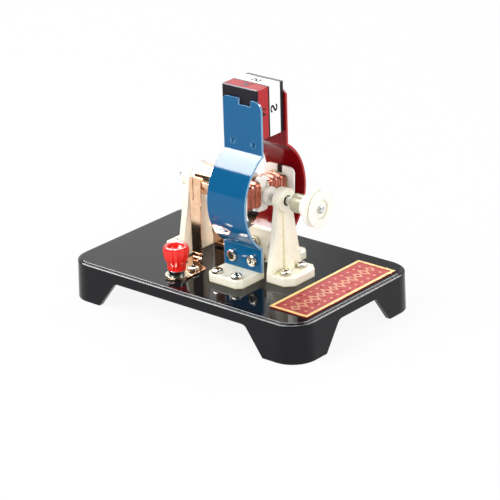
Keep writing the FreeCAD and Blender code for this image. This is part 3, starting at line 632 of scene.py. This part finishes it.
makeKnob("redKnob", "front", finishes["knob_red"], knobSizes)
makeKnob("blackKnob", "rear", finishes["knob_black"], knobSizes)
print("knobs")


# name plate: a gold border, and a row of lozenges with dots beside them in place of words

labelSizes = {
    "rise": 0.05, "border": 1.7, "inset": 3.4, "field": 0.2, "count": 13,
    "lozenge": 2.5, "lozengeWidth": 4.4, "smallShare": 0.72, "coreShare": 0.5,
    "dot": 0.8, "dotPlace": 6.4, "dotSides": 8,
}


def makeFrame(shell, outer, inner, low, high):
    # a flat frame between two outlines with the same number of corners
    for k in range(len(outer)):
        m = (k + 1) % len(outer)
        shell.plate([outer[k], outer[m], inner[m], inner[k]], low, high)


def makeLabelTrim(sizes):
    low, high = boxOf("label_plate")
    centre = (low + high) / 2
    gold = Shell()
    reach = sizes["border"]
    outer = [(low.x, low.y), (high.x, low.y), (high.x, high.y), (low.x, high.y)]
    inner = [(x + math.copysign(reach, centre.x - x), y + math.copysign(reach, centre.y - y)) for x, y in outer]
    makeFrame(gold, outer, inner, high.z, high.z + sizes["rise"])
    addMesh("labelBorder", gold.points, gold.faces, finishes["gold_print"], smooth=False)
    marks = Shell()
    field = high.z - sizes["field"]
    top = field + 2 * sizes["rise"]
    run = high.y - low.y - 2 * sizes["inset"]
    tall = sizes["lozenge"]
    turns = [fullTurn * t / sizes["dotSides"] for t in range(sizes["dotSides"])]
    for k in range(sizes["count"]):
        y = low.y + sizes["inset"] + run * (k + 0.5) / sizes["count"]
        wide = sizes["lozengeWidth"] * (1 if k % 2 else sizes["smallShare"])
        shape = [(-wide, 0), (0, -tall), (wide, 0), (0, tall)]
        edge = [(centre.x + a, y + b) for a, b in shape]
        core = [(centre.x + a * sizes["coreShare"], y + b * sizes["coreShare"]) for a, b in shape]
        makeFrame(marks, edge, core, field, top)
        for side in (-1, 1):
            spot = Vector((centre.x + side * sizes["dotPlace"], y))
            marks.plate([point[:2] for point in ring(spot, turns, [sizes["dot"]] * len(turns), top)], field, top)
    addMesh("labelOrnament", marks.points, marks.faces, finishes["ornament"], smooth=False)


makeLabelTrim(labelSizes)
print("label trim")


# pole letters, which read in a mirror, as they do in the photograph

letterSizes = {
    "tall": 5.0, "capShare": 0.7, "thick": 0.06, "swell": 0.14, "sideRise": 0.9, "topShift": 0.2,
    "poles": {
        "north": {"text": "N", "wide": 0.76, "shift": -1.6},
        "south": {"text": "S", "wide": 1.24, "shift": -0.9},
    },
}


def makeLetter(name, pole, place, rotation, sizes):
    # rotation in degrees about X, Y and Z, in that order
    curve = bpy.data.curves.new(name, "FONT")
    curve.body = pole["text"]
    curve.size = sizes["tall"] * mm / sizes["capShare"]
    curve.align_x = "CENTER"
    curve.align_y = "CENTER"
    curve.extrude = sizes["thick"] * mm
    curve.offset = sizes["swell"] * mm
    letter = bpy.data.objects.new(name, curve)
    bpy.context.scene.collection.objects.link(letter)
    letter.location = Vector(place) * mm
    letter.rotation_euler = [math.radians(angle) for angle in rotation]
    letter.scale.x = -pole["wide"]
    bpy.context.view_layer.update()
    mesh = bpy.data.meshes.new_from_object(letter)
    mesh.transform(letter.matrix_world)
    mesh.flip_normals()
    bpy.data.objects.remove(letter)
    mesh.materials.clear()
    mesh.materials.append(finishes["ink"].material)
    piece = bpy.data.objects.new(name, mesh)
    bpy.context.scene.collection.objects.link(piece)
    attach(piece, "magnet")


def makeLetters(sizes):
    for name, pole in sizes["poles"].items():
        low, high = boxOf("magnet_" + name)
        middle = (low + high) / 2
        side = (high.x, middle.y + pole["shift"], middle.z + sizes["sideRise"])
        top = (middle.x + sizes["topShift"], middle.y, high.z)
        makeLetter(name + "Side", pole, side, (90, 90, 90), sizes)
        makeLetter(name + "Top", pole, top, (0, 0, 90), sizes)


makeLetters(letterSizes)
print("pole letters")


# painted shadow: a dark strip in the joint between the two poles

jointShadowSizes = {"width": 0.9, "rise": 0.05}


def makeJointShadow(width, rise):
    low, high = boxOf("magnet_north")
    left, right = low.x - rise, high.x + rise
    before, behind = high.y - width / 2, high.y + width / 2
    shell = Shell()
    shell.plate([(left, before), (right, before), (right, behind), (left, behind)], low.z - rise, high.z + rise)
    addMesh("magnetJointShadow", shell.points, shell.faces, finishes["ink"], "magnet", smooth=False)


makeJointShadow(**jointShadowSizes)
print("magnet seam")


# floor, camera and lamps, in metres

floorSizes = {"width": 6.0, "drop": 0.0004, "glow": 0.9, "colour": linear(250, 250, 250), "roughness": 0.9}


def floorFinish(glow, colour, roughness):
    # white to the eye and to what mirrors it, and plain white to the light that falls on it
    finish = Finish("floorWhite", Roughness=roughness)
    finish.set({"Base Color": colour, "Specular IOR Level": 0.0})
    camera = finish.node("ShaderNodeLightPath", out="Is Camera Ray")
    seen = camera.largest(camera.sibling("Is Glossy Ray")).largest(camera.sibling("Is Transmission Ray"))
    light = finish.node("ShaderNodeEmission", {}, {0: (1, 1, 1, 1), 1: 1.0})
    surface = Field(finish, finish.shader.outputs[0])
    mix = finish.node("ShaderNodeMixShader", {}, {0: seen * glow, 1: surface, 2: light})
    finish.plug(finish.out.inputs[0], mix)
    return finish


def makeFloor(width, drop, glow, colour, roughness):
    mesh = bpy.data.meshes.new("floor")
    half = width / 2
    mesh.from_pydata([(-half, -half, 0), (half, -half, 0), (half, half, 0), (-half, half, 0)], [], [(0, 1, 2, 3)])
    mesh.materials.append(floorFinish(glow, colour, roughness).material)
    floor = bpy.data.objects.new("floor", mesh)
    bpy.context.scene.collection.objects.link(floor)
    floor.location.z = -drop


makeFloor(**floorSizes)

cameraPlace = {
    "place": (0.7284, -0.8509, 0.4867), "azimuth": 40.28799, "elevation": 22.30207, "roll": 1.68679,
    "lens": 172.8, "nearest": 0.01,
}


def makeCamera(place, azimuth, elevation, roll, lens, nearest):
    a, e, c = (math.radians(angle) for angle in (azimuth, elevation, roll))
    ahead = Vector((-math.sin(a) * math.cos(e), math.cos(a) * math.cos(e), -math.sin(e)))
    level = Vector((math.cos(a), math.sin(a), 0))
    below = ahead.cross(level)
    right = level * math.cos(c) + below * math.sin(c)
    down = below * math.cos(c) - level * math.sin(c)
    lensData = bpy.data.cameras.new("camera")
    lensData.lens = lens
    lensData.clip_start = nearest
    camera = bpy.data.objects.new("camera", lensData)
    bpy.context.scene.collection.objects.link(camera)
    camera.matrix_world = Matrix.Translation(place) @ Matrix((right, -down, -ahead)).transposed().to_4x4()
    bpy.context.scene.camera = camera


makeCamera(**cameraPlace)

lampAim = (0, 0, 0.05)
lamps = {
    "keyLamp": {"place": (-0.5, -0.8, 1.0), "size": 0.9, "power": 8.5},
    "fillLamp": {"place": (1.1, -0.9, 0.7), "size": 1.0, "power": 8.0},
    "backLamp": {"place": (-0.4, 1.2, 0.9), "size": 0.9, "power": 4},
}


def makeLamp(name, place, size, power):
    light = bpy.data.lights.new(name, "AREA")
    light.size = size
    light.energy = power
    lamp = bpy.data.objects.new(name, light)
    bpy.context.scene.collection.objects.link(lamp)
    lamp.location = place
    lamp.rotation_euler = (Vector(lampAim) - Vector(place)).to_track_quat("-Z", "Y").to_euler()
    lamp.visible_glossy = False


for name, settings in lamps.items():
    makeLamp(name, **settings)


# what polished faces mirror: a bright soft box high on the left, a lit strip behind on the right,
# a dark wall in front and a lighter one behind with a doorway in it; each edge runs from 0 to 1 along an axis

mirrored = {
    "softBox": {"light": 32.0, "edges": [("z", 0.575, 0.615), ("x", 0.0, -0.25)]},
    "strip": {"light": 36.0, "edges": [("z", 0.42, 0.5), ("x", 0.15, 0.25), ("x", 0.6, 0.5), ("y", 0.3, 0.4)]},
    "doorway": {"light": 0.6, "edges": [("x", -0.61, -0.56), ("x", -0.4, -0.5), ("z", 0.5, 0.45)]},
    "back": {"light": 1.3, "edges": [("y", -0.25, 0.2)]},
    "front": 0.08,
}

# the light that falls on the object from all round: the walls, and a dimmer ceiling
room = {"walls": 1.35, "ceiling": 0.4, "edges": [("z", 0.3, 0.6)]}


class Sky:
    node = Finish.node
    plug = Finish.plug

    def __init__(self, name):
        self.world = bpy.data.worlds.new(name)
        self.world.use_nodes = True
        self.tree = self.world.node_tree
        self.tree.nodes.clear()
        ray = self.node("ShaderNodeTexCoord", out="Generated")
        split = self.node("ShaderNodeSeparateXYZ", {}, {0: ray})
        self.axes = {"x": split, "y": split.sibling("Y"), "z": split.sibling("Z")}

    def area(self, edges):
        # 1 inside all the soft edges, 0 outside
        inside = None
        for axis, start, stop in edges:
            sockets = {0: self.axes[axis], 1: start, 2: stop}
            edge = self.node("ShaderNodeMapRange", {"interpolation_type": "SMOOTHSTEP"}, sockets)
            inside = edge if inside is None else inside * edge
        return inside


def makeSky(softBox, strip, doorway, back, front):
    sky = Sky("studio")
    shade = 1 - sky.area(doorway["edges"]) * doorway["light"]
    wall = sky.area(back["edges"]) * shade * (back["light"] - front) + front
    level = sky.area(softBox["edges"]) * softBox["light"] + sky.area(strip["edges"]) * strip["light"] + wall
    camera = sky.node("ShaderNodeLightPath", out="Is Camera Ray")
    glossy = camera.sibling("Is Glossy Ray")
    around = sky.area(room["edges"]) * (room["ceiling"] - room["walls"]) + room["walls"]
    plain = (1 - camera) * around + camera
    strength = glossy * level + (1 - glossy) * plain
    backdrop = sky.node("ShaderNodeBackground", {}, {0: (1, 1, 1, 1), 1: strength})
    out = sky.tree.nodes.new("ShaderNodeOutputWorld")
    sky.plug(out.inputs[0], backdrop)
    bpy.context.scene.world = sky.world


makeSky(**mirrored)
bpy.context.scene.view_settings.view_transform = "Standard"
print("stage, lamps and camera")
